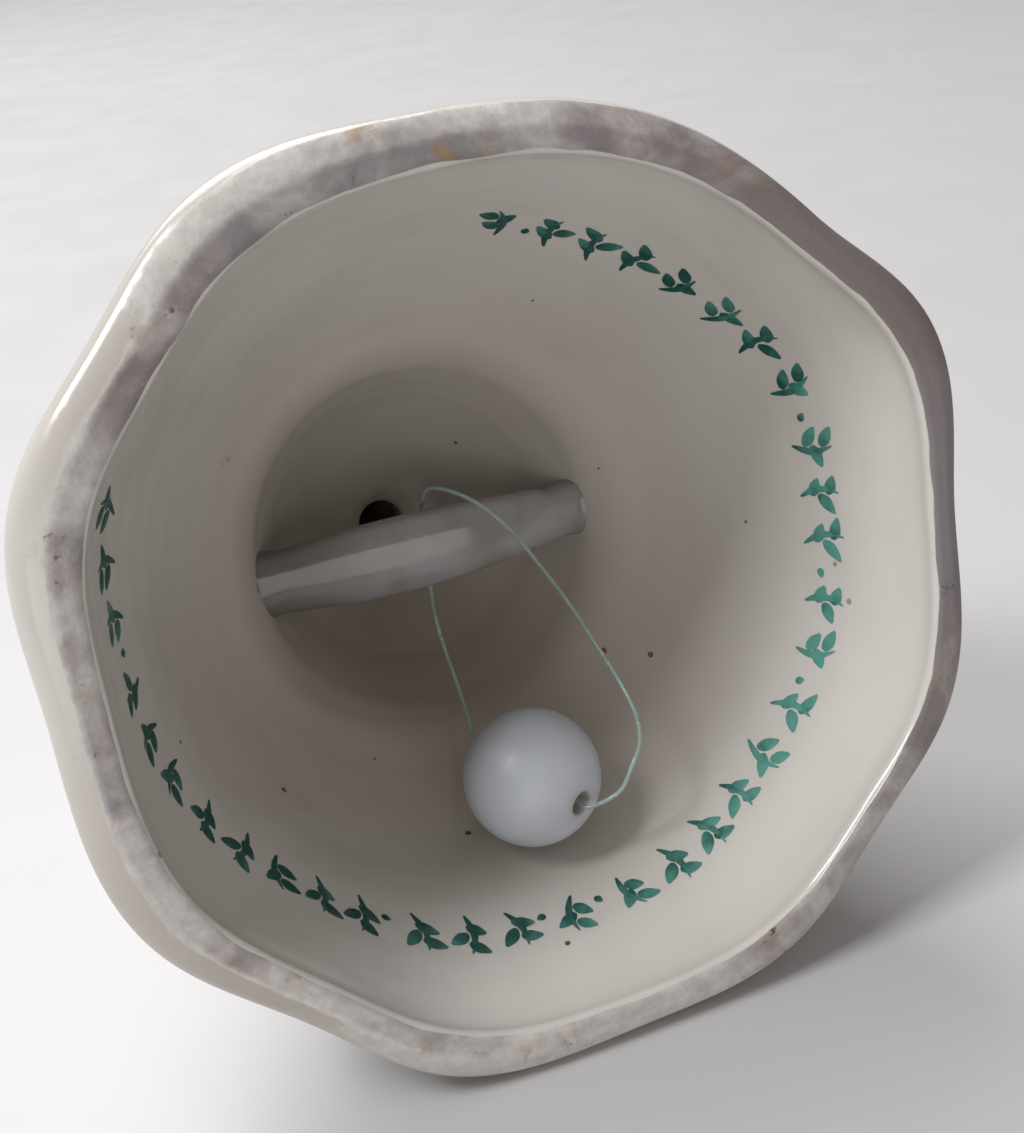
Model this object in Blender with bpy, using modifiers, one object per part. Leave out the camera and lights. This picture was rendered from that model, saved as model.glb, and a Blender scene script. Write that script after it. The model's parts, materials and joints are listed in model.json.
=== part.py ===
"""A porcelain hand bell lying on its side, built as an assembly of its separate pieces.

The bell is drawn in its own upright frame, in millimetres: the mouth is the plane z = 0, the
crown is above it, +x runs along the bar that carries the clapper, and +y is the side that ends
up underneath. An empty then lays the bell down on its lip and its knob. The clapper is a round
bead on a closed loop of nylon thread, which goes round the bar. It lies slack on the wall.
"""

import math

import bmesh
import bpy
from mathutils import Vector

MM = 0.001
NAME = "porcelain_bell"

# ---- Driving dimensions, in millimetres and degrees ----------------------------------------

GAP = 0.3  # clearance between pieces that touch

# Half sections of the body's two faces: (depth above the mouth plane, radius).
INNER_WALL = ((0, 35.2), (6, 33.9), (13, 31.7), (20, 28.7), (25, 26.0), (29, 22.9),
              (32, 19.9), (35, 17.8), (38, 16.5), (42, 14.6), (46, 12.4), (50, 9.5),
              (53, 6.3), (55, 2.5))
OUTER_WALL = ((1.9, 39.2), (6, 37.4), (13, 35.1), (20, 32.2), (28, 27.6), (34, 22.4),
              (38, 19.6), (46, 15.8), (52, 12.6), (57, 10.1), (59, 9.4))
CROWN_TOP = 59.0
LAND_OUTER = 36.5  # the flat land that the bell was fired on ends here and the lip rounds off
VENT_RADIUS = 2.5  # hole through the crown into the hollow handle
VENT_OFFSET = 1.0  # the hole was cut this far off the axis, towards +y
VENT_REACH = 7.0  # radius at which the crown no longer follows the hole

# The lip was crimped by hand: (angle from underneath towards +x, reach of the lobe there,
# reach of the dip that follows it).
SCALLOPS = ((-151, 41.1, 40.0), (-115, 41.2, 38.8), (-65, 40.3, 38.5), (-20, 40.6, 39.2),
            (25, 40.6, 39.4), (63, 40.9, 39.1), (110, 41.9, 39.1), (153, 39.5, 39.0))
MEAN_REACH = 39.2
SCALLOP_DEPTH = 27.0  # height above the mouth at which the scallops have faded out
INNER_SHARE = 0.6  # how far the inner face follows the scallops

# The lip is thinner on one side: its inner face there stands further out.
THIN_SIDE = 62  # angle of its thinnest place
MEAN_THINNING = 0.45
THINNING_SWING = 0.9
THINNING_DEPTH = 10.0

HANDLE_WALL = ((0, 8.4), (1.3, 8.5), (2.8, 7.2), (6, 5.4), (12, 4.8), (21, 5.5), (31, 6.3),
               (39, 5.3), (44.5, 4.4))
HANDLE_THICKNESS = 2.4
STEM_THICKNESS = 2.8
LEAST_BORE = 1.6  # radius of the handle's bore where the stem is thinnest
FOOT_HEIGHT = 2.0  # the vent hole runs this far up into the handle
NECK_FILLET = 4  # degrees of the knob given to the bend where the stem meets it
KNOB_CENTRE = 114.2  # above the mouth plane
KNOB_RADIUS = 9.0

BAR_CENTRE = Vector((0.0, 0.8, 35.5))
BAR_HALF_LENGTH = 17.5
BAR_RISE = 2.5  # its middle stands this much nearer the mouth than its ends
BAR_THICKNESS = 4.0
BAR_WIDTHS = ((-17.5, 5.4), (-7, 7.6), (4, 7.4), (17.5, 4.8))
BAR_SQUARENESS = 0.7  # power of its section's cosine and sine: 1 would make it an ellipse
BAR_END_GAP = 0.48  # its ends meet the wall at a slant

BEAD_CENTRE = Vector((1.55, 21.25, 19.1))
BEAD_RADIUS = 6.55
BEAD_FLAT = 2.1  # radius of the flat ground round each end of the bore
BORE_RADIUS = 1.15
BORE_AXIS = Vector((0.444, 0.304, -0.843)).normalized()

THREAD_DIAMETER = 0.4
KNOT_RADIUS = 0.75
SLOPE = 15.0  # the lying bell's axis falls this much towards the handle

# The thread's way round, from the knot out of the bead's near end, over the bar, behind it and
# back into the bead's far end. The numbers beside the bead are distances along its bore.
RIGHT_STRAND = ((7.5, 22.4, 12.2), (9.0, 20.0, 11.6), (10.4, 18.4, 12.4), (11.2, 16.3, 14.4),
                (11.05, 13.6, 17.0), (10.6, 11.0, 19.6), (9.7, 7.0, 23.0), (8.4, 3.2, 26.0))
ROUND_THE_BAR = ((6.9, -0.4, 28.6), (5.05, -3.05, 31.0), (3.3, -4.5, 33.0),
                 (2.1, -5.0, 34.8), (1.5, -4.75, 36.8), (1.3, -3.5, 38.9), (1.1, -1.4, 40.3),
                 (0.9, 1.0, 40.8), (0.7, 3.5, 40.5), (0.4, 6.0, 39.6), (0.0, 8.3, 38.4))
LEFT_STRAND = ((-0.3, 11.2, 36.2), (-0.5, 14.2, 33.2), (-0.8, 16.6, 30.2), (-1.3, 18.3, 27.4))
IN_THE_BORE = (KNOT_RADIUS + GAP, 3.5, 5.6, 7.0)
POINT_SPACING = 1.25

# How finely the pieces are drawn.
BODY_STEPS, OUTSIDE_RINGS, INSIDE_RINGS = 72, 15, 17
HANDLE_STEPS, STEM_RINGS, KNOB_RINGS, CAVITY_RINGS = 24, 14, 12, 7
BAR_SIDES, BAR_SECTIONS = 14, 14
BEAD_STEPS, BEAD_RINGS = 28, 14
SPLINE_STEPS = 40


# ---- Curves and sections -------------------------------------------------------------------


def smooth_value(points, at):
    """A value on the smooth curve through (position, value) points."""
    at = min(max(at, points[0][0]), points[-1][0])
    i = 0
    while i < len(points) - 2 and at > points[i + 1][0]:
        i += 1
    (x0, y0), (x1, y1) = points[i], points[i + 1]
    before = points[max(i - 1, 0)]
    after = points[min(i + 2, len(points) - 1)]
    slope0 = (y1 - before[1]) / (x1 - before[0])
    slope1 = (after[1] - y0) / (after[0] - x0)
    span = x1 - x0
    t = (at - x0) / span
    return (y0 * (2 * t**3 - 3 * t**2 + 1) + slope0 * span * (t**3 - 2 * t**2 + t)
            + y1 * (3 * t**2 - 2 * t**3) + slope1 * span * (t**3 - t**2))


def ease(t):
    """0 to 1, level at both ends."""
    return 0.5 - 0.5 * math.cos(math.pi * min(max(t, 0.0), 1.0))


def scallop(angle):
    """How far the lip reaches past its mean at this angle, in degrees from underneath."""
    for i, (start, lobe, dip) in enumerate(SCALLOPS):
        end, next_lobe, _ = SCALLOPS[(i + 1) % len(SCALLOPS)]
        width = (end - start) % 360
        along = ((angle - start) % 360) / width
        if along > 1:
            continue
        if along < 0.5:
            reach = lobe + (dip - lobe) * ease(2 * along)
        else:
            reach = dip + (next_lobe - dip) * ease(2 * along - 1)
        return reach - MEAN_REACH
    return 0.0


def thinning(angle):
    """How much further out the lip's inner face stands at this angle."""
    return MEAN_THINNING + THINNING_SWING * math.cos(math.radians(angle - THIN_SIDE))


def shape_by_hand(x, y, z):
    """Moves a point of the round body to where the crimped and pierced one has it."""
    radius = math.hypot(x, y)
    if z >= SCALLOP_DEPTH:
        shift = VENT_OFFSET * (1 - ease((radius - VENT_RADIUS) / (VENT_REACH - VENT_RADIUS)))
        return x, y + shift, z
    angle = math.degrees(math.atan2(x, y))
    inner = smooth_value(INNER_WALL, z)
    outer = smooth_value(OUTER_WALL, z)
    outward = min(max((radius - inner) / (outer - inner), 0), 1)
    share = INNER_SHARE + (1 - INNER_SHARE) * outward
    push = (share * scallop(angle) * (1 - ease(z / SCALLOP_DEPTH))
            + (1 - outward) * thinning(angle) * (1 - ease(z / THINNING_DEPTH)))
    return x * (1 + push / radius), y * (1 + push / radius), z


def walk(points, steps):
    """The wall from its first control point to its last, as (radius, height) pairs."""
    start, end = points[0][0], points[-1][0]
    heights = [start + (end - start) * i / steps for i in range(steps + 1)]
    return [(smooth_value(points, z), z) for z in heights]


def arc(centre_z, radius, start, end, steps):
    """An arc about a point on the axis. The angles are degrees from +z."""
    angles = [math.radians(start + (end - start) * i / steps) for i in range(steps + 1)]
    return [(radius * math.sin(a), centre_z + radius * math.cos(a)) for a in angles]


def spline_through(points, spacing):
    """Evenly spaced points on the smooth curve through these ones."""
    ends = [points[0] * 2 - points[1], *points, points[-1] * 2 - points[-2]]
    fine = []
    for a, b, c, d in zip(ends, ends[1:], ends[2:], ends[3:]):
        for i in range(SPLINE_STEPS):
            t = i / SPLINE_STEPS
            fine.append(0.5 * (2 * b + (c - a) * t + (2 * a - 5 * b + 4 * c - d) * t**2
                               + (3 * b - a - 3 * c + d) * t**3))
    fine.append(points[-1])
    travelled = [0.0]
    for a, b in zip(fine, fine[1:]):
        travelled.append(travelled[-1] + (b - a).length)
    count = max(2, round(travelled[-1] / spacing))
    even, i = [], 0
    for k in range(count + 1):
        wanted = travelled[-1] * k / count
        while i < len(fine) - 2 and travelled[i + 1] < wanted:
            i += 1
        share = (wanted - travelled[i]) / (travelled[i + 1] - travelled[i])
        even.append(fine[i].lerp(fine[i + 1], share))
    return even


# ---- Scene and materials -------------------------------------------------------------------


def clear_scene():
    for obj in list(bpy.data.objects):
        bpy.data.objects.remove(obj)
    collection = bpy.data.collections.new(NAME)
    bpy.context.scene.collection.children.link(collection)
    return collection


def material(name, colour, roughness, transmission=0.0):
    made = bpy.data.materials.new(name)
    made.use_nodes = True
    shader = made.node_tree.nodes["Principled BSDF"]
    shader.inputs["Base Color"].default_value = (*colour, 1)
    shader.inputs["Roughness"].default_value = roughness
    shader.inputs["Metallic"].default_value = 0
    shader.inputs["Transmission Weight"].default_value = transmission
    made.diffuse_color = (*colour, 1)
    return made


def add(name, data, parent, finish=None):
    obj = bpy.data.objects.new(name, data)
    collection.objects.link(obj)
    obj.parent = parent
    if finish:
        data.materials.append(finish)
    return obj


def smooth(mesh, angle=35):
    mesh.shade_smooth()
    mesh.set_sharp_from_angle(angle=math.radians(angle))


def turned(name, profile, closed, steps, parent, finish):
    """A turned piece from a half section of (radius, height) pairs in millimetres."""
    mesh = bpy.data.meshes.new(name)
    edges = [(i, i + 1) for i in range(len(profile) - 1)]
    if closed:
        edges.append((len(profile) - 1, 0))
    mesh.from_pydata([(r * MM, 0, z * MM) for r, z in profile], edges, [])
    obj = add(name, mesh, parent, finish)
    spin = obj.modifiers.new("turn", "SCREW")
    spin.axis = "Z"
    spin.steps = steps
    spin.render_steps = steps
    spin.use_merge_vertices = True
    spin.merge_threshold = 0.00001
    return obj


def baked(obj):
    """The same object with its modifiers' result as its own mesh."""
    graph = bpy.context.evaluated_depsgraph_get()
    mesh = bpy.data.meshes.new_from_object(obj.evaluated_get(graph))
    obj.modifiers.clear()
    obj.data = mesh
    return obj


# ---- Pieces --------------------------------------------------------------------------------


def make_body(parent, finish):
    """The bell itself: one thin wall from the vent hole out to the flat land of the lip."""
    outside = walk(OUTER_WALL, OUTSIDE_RINGS)[::-1]
    inside = walk(INNER_WALL, INSIDE_RINGS)
    lip_height, lip_radius = OUTER_WALL[0]
    lip = []
    for turn in (60, 30, 0):
        across, up = math.sin(math.radians(turn)), 1 - math.cos(math.radians(turn))
        lip.append((LAND_OUTER + (lip_radius - LAND_OUTER) * across, lip_height * up))
    profile = [(VENT_RADIUS, CROWN_TOP), *outside, *lip, *inside]
    body = baked(turned("bell_body", profile, True, BODY_STEPS, parent, finish))
    for vertex in body.data.vertices:
        vertex.co = Vector(shape_by_hand(*(vertex.co / MM))) * MM
    smooth(body.data)
    return body


def make_handle(parent, finish):
    """A hollow baluster with a round knob, open below over the crown's vent hole."""
    seat = CROWN_TOP + GAP
    stem = [(r, seat + z) for r, z in walk(HANDLE_WALL, STEM_RINGS)]
    neck = stem[-1][0]
    meets = 180 - math.degrees(math.asin(neck / KNOB_RADIUS))
    knob = arc(KNOB_CENTRE, KNOB_RADIUS, 0, meets - NECK_FILLET, KNOB_RINGS)
    cavity_radius = KNOB_RADIUS - HANDLE_THICKNESS
    bore = [(max(r - STEM_THICKNESS, LEAST_BORE), z) for r, z in stem[2:]]
    bore_meets = 180 - math.degrees(math.asin(bore[-1][0] / cavity_radius))
    cavity = arc(KNOB_CENTRE, cavity_radius, bore_meets - NECK_FILLET, 0, CAVITY_RINGS)
    foot = [(VENT_RADIUS, seat), (VENT_RADIUS, seat + FOOT_HEIGHT)]
    profile = [*knob, *stem[::-1], *foot, *bore, *cavity]
    handle = turned("handle", profile, False, HANDLE_STEPS, parent, finish)
    smooth(handle.data)
    return handle


def make_bar(parent, finish):
    """A flattened roll of clay, arched a little towards the mouth, that spans the throat."""
    rings = []
    for i in range(BAR_SECTIONS + 1):
        x = BAR_HALF_LENGTH * (2 * i / BAR_SECTIONS - 1)
        half_width = smooth_value(BAR_WIDTHS, x) / 2
        middle = BAR_CENTRE.z + BAR_RISE * (x / BAR_HALF_LENGTH) ** 2
        ring = []
        for k in range(BAR_SIDES):
            turn = 2 * math.pi * k / BAR_SIDES
            across, up = math.cos(turn), math.sin(turn)
            y = BAR_CENTRE.y + half_width * math.copysign(abs(across) ** BAR_SQUARENESS, across)
            z = middle + BAR_THICKNESS / 2 * math.copysign(abs(up) ** BAR_SQUARENESS, up)
            reach = math.sqrt(smooth_value(INNER_WALL, z) ** 2 - y * y) - BAR_END_GAP
            ring.append(Vector((min(max(x, -reach), reach), y, z)))
            if i in (0, BAR_SECTIONS):
                ring[-1].x = math.copysign(reach, x)
        rings.append(ring)
    shape = bmesh.new()
    loops = [[shape.verts.new(point * MM) for point in ring] for ring in rings]
    for loop, following in zip(loops, loops[1:]):
        for k in range(BAR_SIDES):
            near, far = k, (k + 1) % BAR_SIDES
            shape.faces.new((loop[near], loop[far], following[far], following[near]))
    shape.faces.new(loops[0])
    shape.faces.new(loops[-1])
    bmesh.ops.recalc_face_normals(shape, faces=shape.faces)
    mesh = bpy.data.meshes.new("clapper_bar")
    shape.to_mesh(mesh)
    shape.free()
    bar = add("clapper_bar", mesh, parent, finish)
    smooth(mesh, 50)
    return bar


def make_bead(parent, finish):
    """A drilled ball with a small flat round each end of its bore."""
    edge = math.degrees(math.asin(BEAD_FLAT / BEAD_RADIUS))
    ball = arc(0, BEAD_RADIUS, edge, 180 - edge, BEAD_RINGS)
    flat = ball[0][1]
    profile = [(BORE_RADIUS, flat), *ball, (BORE_RADIUS, -flat)]
    bead = turned("clapper_bead", profile, True, BEAD_STEPS, parent, finish)
    bead.rotation_euler = BORE_AXIS.to_track_quat("Z", "Y").to_euler()
    smooth(bead.data)
    return bead


def make_thread(name, points, origin, parent, finish):
    """One stretch of the nylon thread, drawn about its parent's place."""
    curve = bpy.data.curves.new(name, "CURVE")
    curve.dimensions = "3D"
    curve.bevel_depth = THREAD_DIAMETER / 2 * MM
    curve.bevel_resolution = 2
    curve.use_fill_caps = True
    line = curve.splines.new("POLY")
    line.points.add(len(points) - 1)
    for target, point in zip(line.points, points):
        target.co = (*((point - origin) * MM), 1)
    return add(name, curve, parent, finish)


def make_knot(origin, parent, finish):
    """The knot that closes the loop, drawn up inside the bead."""
    shape = bmesh.new()
    bmesh.ops.create_uvsphere(shape, u_segments=12, v_segments=8, radius=KNOT_RADIUS * MM)
    mesh = bpy.data.meshes.new("thread_knot")
    shape.to_mesh(mesh)
    shape.free()
    knot = add("thread_knot", mesh, parent, finish)
    knot.location = (BEAD_CENTRE - origin) * MM
    smooth(mesh, 80)
    return knot


# ---- Assembly ------------------------------------------------------------------------------


def thread_stretches():
    """The points of the right strand, of the loop round the bar and of the left strand."""
    outward = [BEAD_CENTRE + BORE_AXIS * along for along in IN_THE_BORE]
    inward = [BEAD_CENTRE - BORE_AXIS * along for along in IN_THE_BORE[::-1]]
    route = outward + [Vector(p) for p in RIGHT_STRAND + ROUND_THE_BAR + LEFT_STRAND] + inward
    line = spline_through(route, POINT_SPACING)
    first = min(line, key=lambda p: (p - Vector(RIGHT_STRAND[-1])).length)
    last = min(line, key=lambda p: (p - Vector(ROUND_THE_BAR[-1])).length)
    first, last = line.index(first), line.index(last)
    right, loop, left = line[:first + 1], line[first:last + 1], line[last:]
    loop[0] += (loop[1] - loop[0]).normalized() * GAP
    loop[-1] += (loop[-2] - loop[-1]).normalized() * GAP
    return right, loop, left


def lay_down(stand, pieces):
    """Tips the bell on its side and sets its box's bottom centre on the frame's origin."""
    stand.rotation_euler = (-math.radians(90 + SLOPE), 0, 0)
    bpy.context.view_layer.update()
    graph = bpy.context.evaluated_depsgraph_get()
    corners = []
    for piece in pieces:
        seen = piece.evaluated_get(graph)
        mesh = seen.to_mesh()
        corners += [seen.matrix_world @ vertex.co for vertex in mesh.vertices]
        seen.to_mesh_clear()
    low = Vector([min(c[i] for c in corners) for i in range(3)])
    high = Vector([max(c[i] for c in corners) for i in range(3)])
    stand.location = -Vector(((low.x + high.x) / 2, (low.y + high.y) / 2, low.z))
    bpy.context.view_layer.update()


collection = clear_scene()
porcelain = material("glazed_porcelain", (0.80, 0.77, 0.71), 0.16)
handle_glaze = material("glazed_handle", (0.80, 0.78, 0.73), 0.16)
bar_glaze = material("glazed_bar", (0.78, 0.76, 0.71), 0.14)
bead_white = material("white_bead", (0.86, 0.87, 0.88), 0.38)
nylon = {name: material(name + "_nylon", (0.55, 0.72, 0.68), 0.25, 0.5)
         for name in ("thread_loop", "thread_strand_right", "thread_strand_left", "thread_knot")}

stand = add("bell_stand", None, None)
turn_axis = add("clapper_turn_axis", None, stand)
turn_axis.location = BAR_CENTRE * MM
swing_axis = add("clapper_swing_axis", None, turn_axis)
bead_axis = add("bead_spin_axis", None, swing_axis)
bead_axis.location = (BEAD_CENTRE - BAR_CENTRE) * MM

body = make_body(stand, porcelain)
handle = make_handle(stand, handle_glaze)
make_bar(stand, bar_glaze)
make_bead(bead_axis, bead_white)
right, loop, left = thread_stretches()
make_thread("thread_loop", loop, BAR_CENTRE, turn_axis, nylon["thread_loop"])
make_thread("thread_strand_right", right, BAR_CENTRE, swing_axis, nylon["thread_strand_right"])
make_thread("thread_strand_left", left, BAR_CENTRE, swing_axis, nylon["thread_strand_left"])
make_knot(BAR_CENTRE, swing_axis, nylon["thread_knot"])
lay_down(stand, (body, handle))
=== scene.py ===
"""The looks of the porcelain hand bell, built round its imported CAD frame.

Shapes are drawn in the bell's own frame, in millimetres: the mouth is the plane z = 0, the crown
is above it, +x runs along the clapper's bar, and +y is the side that lies underneath. An angle
round the bell is counted in degrees from +y towards +x.
"""

import json
import math
import random

import bmesh
import bpy
from mathutils import Matrix, Vector, noise

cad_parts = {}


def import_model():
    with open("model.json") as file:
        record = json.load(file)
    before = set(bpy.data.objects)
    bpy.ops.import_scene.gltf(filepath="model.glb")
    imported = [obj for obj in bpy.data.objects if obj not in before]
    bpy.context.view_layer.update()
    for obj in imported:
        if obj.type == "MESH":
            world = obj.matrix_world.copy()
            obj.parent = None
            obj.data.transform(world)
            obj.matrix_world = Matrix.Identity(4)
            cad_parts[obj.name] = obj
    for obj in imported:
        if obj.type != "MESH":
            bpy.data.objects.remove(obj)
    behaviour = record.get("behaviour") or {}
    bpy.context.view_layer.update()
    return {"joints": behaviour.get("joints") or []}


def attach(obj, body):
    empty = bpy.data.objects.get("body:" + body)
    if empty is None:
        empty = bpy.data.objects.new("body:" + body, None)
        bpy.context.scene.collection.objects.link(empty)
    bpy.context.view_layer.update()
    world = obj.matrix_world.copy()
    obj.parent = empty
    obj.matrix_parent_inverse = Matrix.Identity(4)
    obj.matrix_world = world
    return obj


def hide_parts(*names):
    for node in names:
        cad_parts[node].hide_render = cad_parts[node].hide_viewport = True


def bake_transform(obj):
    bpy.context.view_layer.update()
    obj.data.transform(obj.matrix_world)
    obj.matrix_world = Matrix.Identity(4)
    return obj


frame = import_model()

MM = 0.001

# ---- The bell's own frame ------------------------------------------------------------------

BAR_CENTRE = Vector((0.0, 0.8, 35.5))
TURN = next(joint for joint in frame["joints"] if joint["name"] == "clapper_turn")
CROWNWARD = Vector(TURN["axis"]).normalized()
SIDEWAYS = Vector((1, 0, 0))
UNDERNEATH = CROWNWARD.cross(SIDEWAYS)
TO_WORLD = Matrix((SIDEWAYS, UNDERNEATH, CROWNWARD)).transposed()
MOUTH_CENTRE = Vector(TURN["pos_m"]) - TO_WORLD @ (BAR_CENTRE * MM)


def world(point):
    """A point of the bell's own frame, in millimetres, as metres in the scene."""
    return MOUTH_CENTRE + TO_WORLD @ (Vector(point) * MM)


def direction(vector):
    """A direction of the bell's own frame, as one in the scene."""
    return TO_WORLD @ Vector(vector)


# ---- Camera --------------------------------------------------------------------------------

CAMERA_PLACE = (-34.55, -31.4, -110.4)
CAMERA_FORWARD = (0.2747, 0.2327, 0.933)
CAMERA_UP = (0.2482, -0.9546, 0.165)
CAMERA_LENS = 47.9
CAMERA_NEAR = 0.005
CAMERA_FAR = 50


def make_camera():
    """The camera, which looks into the mouth from above and from the left."""
    camera = bpy.data.objects.new("camera", bpy.data.cameras.new("camera"))
    bpy.context.scene.collection.objects.link(camera)
    back = -direction(CAMERA_FORWARD).normalized()
    right = direction(CAMERA_UP).cross(back).normalized()
    turned = Matrix((right, back.cross(right), back)).transposed()
    camera.matrix_world = Matrix.Translation(world(CAMERA_PLACE)) @ turned.to_4x4()
    camera.data.lens = CAMERA_LENS
    camera.data.clip_start = CAMERA_NEAR
    camera.data.clip_end = CAMERA_FAR
    bpy.context.scene.camera = camera


# ---- Sizes ---------------------------------------------------------------------------------

# (height above the mouth, mean radius) of both faces of the wall.
INNER_WALL = ((0, 35.2), (6, 33.9), (13, 31.7), (20, 28.7), (25, 26.0), (29, 22.9),
              (32, 19.9), (35, 17.8), (38, 16.5), (42, 14.6), (46, 12.4), (50, 9.5),
              (53, 6.3), (55, 2.5))
OUTER_WALL = ((1.9, 39.2), (6, 37.4), (13, 35.1), (20, 32.2), (28, 27.6), (34, 22.4),
              (38, 19.6), (46, 15.8), (52, 12.6), (57, 10.1), (59, 9.4))
CROWN_TOP = 59.0
LAND_OUTER = 36.5
VENT_RADIUS = 2.5
VENT_OFFSET = 1.0
VENT_REACH = 7.0
# Each lobe of the lip and the dip after it: (angle of the lobe, lobe's radius, dip's radius).
SCALLOPS = ((-151, 41.1, 40.0), (-115, 41.2, 38.8), (-65, 40.3, 38.5), (-20, 40.6, 39.2),
            (25, 40.6, 39.4), (63, 40.9, 39.1), (110, 41.9, 39.1), (153, 39.5, 39.0))
MEAN_REACH = 39.2
SCALLOP_DEPTH = 27.0
INNER_SHARE = 0.6
THIN_SIDE = 62
MEAN_THINNING = 0.45
THINNING_SWING = 0.9
THINNING_DEPTH = 10.0

# (height above the crown, radius) up the handle's stem.
HANDLE_WALL = ((0, 8.4), (1.3, 8.5), (2.8, 7.2), (6, 5.4), (12, 4.8), (21, 5.5), (31, 6.3),
               (39, 5.3), (44.5, 4.4))
HANDLE_THICKNESS = 2.4
KNOB_CENTRE = 114.2
KNOB_RADIUS = 8.97
FOOT_BORE = 4.2

BAR_HALF_LENGTH = 17.5
BAR_RISE = 2.5
BAR_THICKNESS = 4.0
# (place along the bar, its width there).
BAR_WIDTHS = ((-17.5, 5.4), (-7, 7.6), (4, 7.4), (17.5, 4.8))

BEAD_CENTRE = Vector((1.55, 21.25, 19.1))
BEAD_RADIUS = 6.55
BEAD_FLAT = 2.1
BORE_RADIUS = 1.15
BORE_AXIS = Vector((0.444, 0.304, -0.843)).normalized()

THREAD_DIAMETER = 0.4
KNOT_RADIUS = 0.72
# The thread's route, from the bore's lower end back to its upper end.
RIGHT_STRAND = ((7.5, 22.4, 12.2), (9.0, 20.0, 11.6), (10.4, 18.4, 12.4), (11.2, 16.3, 14.4),
                (11.05, 13.6, 17.0), (10.6, 11.0, 19.6), (9.7, 7.0, 23.0), (8.4, 3.2, 26.0))
ROUND_THE_BAR = ((6.9, -0.4, 28.6), (5.05, -3.05, 31.0), (3.3, -4.5, 33.0),
                 (2.1, -5.0, 34.8), (1.5, -4.75, 36.8), (1.3, -3.5, 38.9), (1.1, -1.4, 40.3),
                 (0.9, 1.0, 40.8), (0.7, 3.5, 40.5), (0.4, 6.0, 39.6), (0.0, 8.3, 38.4))
LEFT_STRAND = ((-0.3, 11.2, 36.2), (-0.5, 14.2, 33.2), (-0.8, 16.6, 30.2), (-1.3, 18.3, 27.4))
IN_THE_BORE = (0.9, 3.5, 5.6, 7.0)


def smooth_value(points, at):
    """A value on the smooth curve through (position, value) points."""
    at = min(max(at, points[0][0]), points[-1][0])
    i = 0
    while i < len(points) - 2 and at > points[i + 1][0]:
        i += 1
    (x0, y0), (x1, y1) = points[i], points[i + 1]
    before = points[max(i - 1, 0)]
    after = points[min(i + 2, len(points) - 1)]
    slope0 = (y1 - before[1]) / (x1 - before[0])
    slope1 = (after[1] - y0) / (after[0] - x0)
    span = x1 - x0
    t = (at - x0) / span
    return (y0 * (2 * t**3 - 3 * t**2 + 1) + slope0 * span * (t**3 - 2 * t**2 + t)
            + y1 * (3 * t**2 - 2 * t**3) + slope1 * span * (t**3 - t**2))


def ease(t):
    """0 to 1, slow at both ends."""
    return 0.5 - 0.5 * math.cos(math.pi * min(max(t, 0.0), 1.0))


def scallop(angle):
    """How far the lip reaches past its mean at this angle."""
    for i, (start, lobe, dip) in enumerate(SCALLOPS):
        end, next_lobe, _ = SCALLOPS[(i + 1) % len(SCALLOPS)]
        along = ((angle - start) % 360) / ((end - start) % 360)
        if along > 1:
            continue
        if along < 0.5:
            reach = lobe + (dip - lobe) * ease(2 * along)
        else:
            reach = dip + (next_lobe - dip) * ease(2 * along - 1)
        return reach - MEAN_REACH
    return 0.0


def thinning(angle):
    """How much further out the lip's inner face stands at this angle."""
    return MEAN_THINNING + THINNING_SWING * math.cos(math.radians(angle - THIN_SIDE))


def vent_shift(radius):
    """How far the crown's middle follows the hole, which was cut off the axis."""
    return Vector((0, VENT_OFFSET * (1 - ease((radius - VENT_RADIUS) / (VENT_REACH - VENT_RADIUS))), 0))


def crimped(radius, angle, z):
    """The radius that the round body's point has on the scalloped one."""
    if z >= SCALLOP_DEPTH or radius < 1:
        return radius
    inner = smooth_value(INNER_WALL, z)
    outer = smooth_value(OUTER_WALL, z)
    outward = min(max((radius - inner) / (outer - inner), 0), 1)
    share = INNER_SHARE + (1 - INNER_SHARE) * outward
    return (radius + share * scallop(angle) * (1 - ease(z / SCALLOP_DEPTH))
            + (1 - outward) * thinning(angle) * (1 - ease(z / THINNING_DEPTH)))


def at_angle(radius, angle, z):
    """The point at this distance from the axis, angle and height."""
    turn = math.radians(angle)
    return Vector((radius * math.sin(turn), radius * math.cos(turn), z))


def bump(value, centre, width):
    """1 at the centre, falling off smoothly over the width."""
    return math.exp(-((value - centre) / width) ** 2)


# ---- Mesh helpers --------------------------------------------------------------------------


def mesh_object(name, points, faces, finish):
    """An object whose mesh holds these points, given in the bell's frame in millimetres."""
    mesh = bpy.data.meshes.new(name)
    mesh.from_pydata([world(point) for point in points], [], faces)
    mesh.validate()
    mesh.update()
    mesh.shade_smooth()
    obj = bpy.data.objects.new(name, mesh)
    bpy.context.scene.collection.objects.link(obj)
    mesh.materials.append(finish)
    return obj


def grid_faces(rings, sides, closed_rings=False):
    """Quads between successive rings of points, each ring closed on itself."""
    faces = []
    for r in range(rings if closed_rings else rings - 1):
        near = r * sides
        far = ((r + 1) % rings) * sides
        for k in range(sides):
            after = (k + 1) % sides
            faces.append((near + k, near + after, far + after, far + k))
    return faces


def end_caps(rings, sides):
    """The two faces that close a tube of rings."""
    last = (rings - 1) * sides
    return [tuple(range(sides)), tuple(range(last, last + sides))]


def set_values(obj, name, values):
    """A number for each vertex, which the material reads by name."""
    layer = obj.data.attributes.new(name, "FLOAT", "POINT")
    layer.data.foreach_set("value", values)


def faced_out(obj):
    """Turns the faces outwards."""
    shape = bmesh.new()
    shape.from_mesh(obj.data)
    bmesh.ops.recalc_face_normals(shape, faces=shape.faces)
    shape.to_mesh(obj.data)
    shape.free()
    return obj


SPLINE_STEPS = 40


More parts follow.
